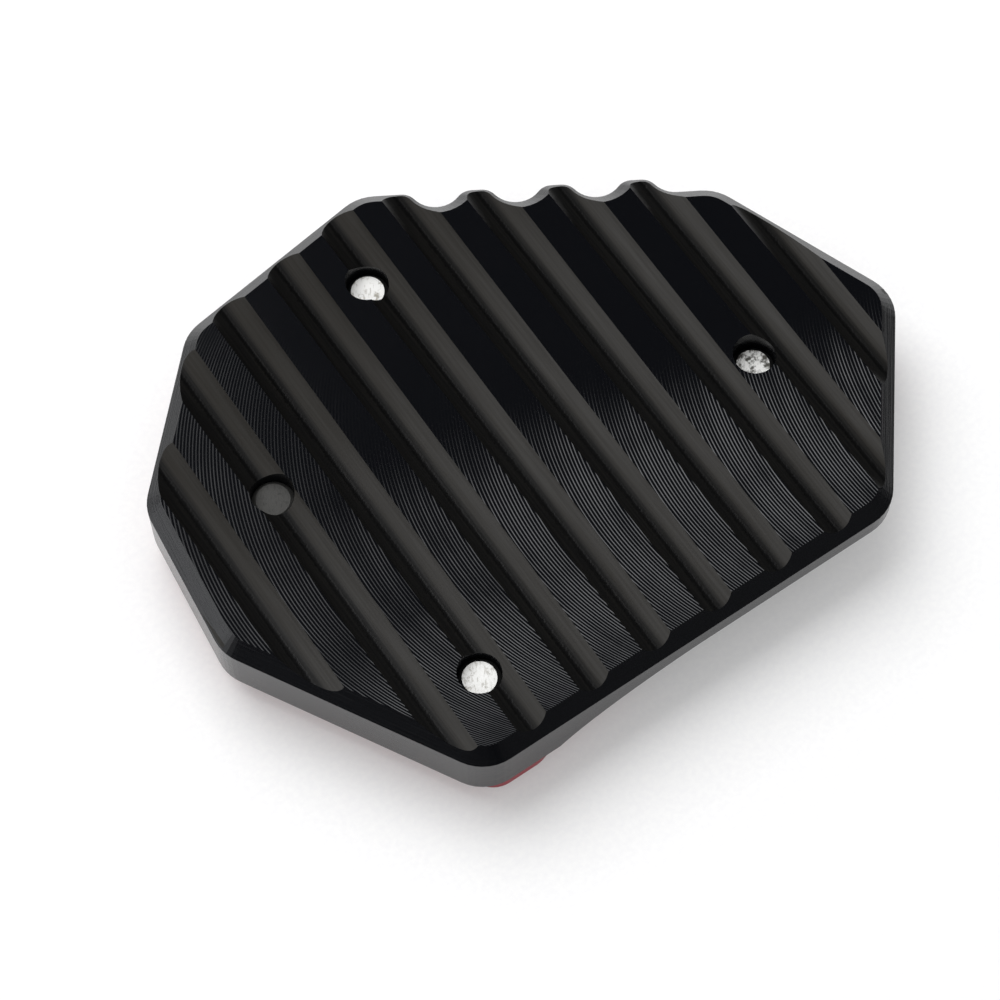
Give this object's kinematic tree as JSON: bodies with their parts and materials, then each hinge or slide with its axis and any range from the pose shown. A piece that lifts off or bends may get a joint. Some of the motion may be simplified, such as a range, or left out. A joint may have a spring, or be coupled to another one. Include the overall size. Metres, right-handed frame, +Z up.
{
  "type": "kickstand foot enlarger",
  "caption": "Kickstand foot enlarger: a black anodised base plate with a grooved, chamfered ground face, a red clamp plate on its back and countersunk screws that hold the two together.",
  "frame": {"origin": "centre of the plan, on the outer face of the clamp plate, which is the lowest face as the part lies in the picture", "axes": "X along the long straight front edge, Y along the grooves, away from that edge, Z up out of the grooved ground face"},
  "size_m": [0.1054, 0.0814, 0.0145],
  "materials": {
    "black_anodised": "machined and black anodised",
    "red_anodised": "machined and red anodised",
    "screw_steel": "turned ends of stainless screws",
    "dark_screw_steel": "dull grey screw"
  },
  "bodies": {
    "root": {"base_plate": "black_anodised", "clamp_plate": "red_anodised", "screw_1": "screw_steel", "screw_2": "screw_steel", "screw_3": "screw_steel", "screw_4": "dark_screw_steel"}
  },
  "joints": []
}
